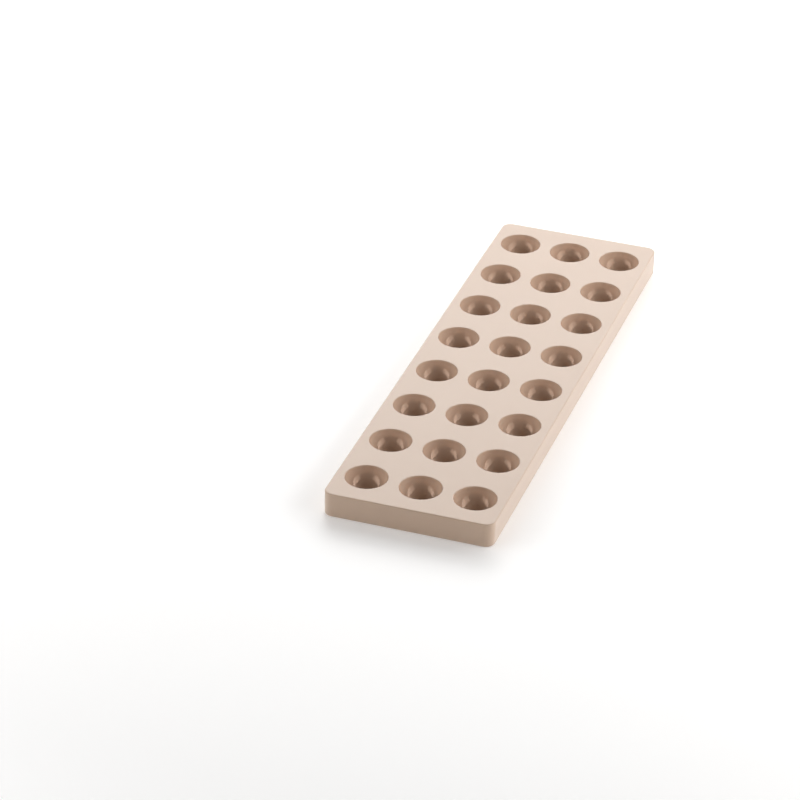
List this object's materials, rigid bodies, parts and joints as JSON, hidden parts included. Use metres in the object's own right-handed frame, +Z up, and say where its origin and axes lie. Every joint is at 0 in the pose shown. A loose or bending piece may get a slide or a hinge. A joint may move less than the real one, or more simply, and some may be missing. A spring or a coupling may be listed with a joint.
{
  "type": "chocolate mould",
  "caption": "Long flat silicone mould plate with a skirt and a grid of hemispherical cavities, for shaping half-ball chocolates or fillings.",
  "frame": {"origin": "centre of the base, in the plane of the skirt's lower rim and the cups' feet", "axes": "+X across the short side, +Y along the long side, +Z up, out of the open side of the cavities"},
  "size_m": [0.0874, 0.3, 0.013],
  "materials": {
    "silicone": "satin moulded silicone"
  },
  "bodies": {
    "root": {"mould_body": "silicone"}
  },
  "joints": []
}
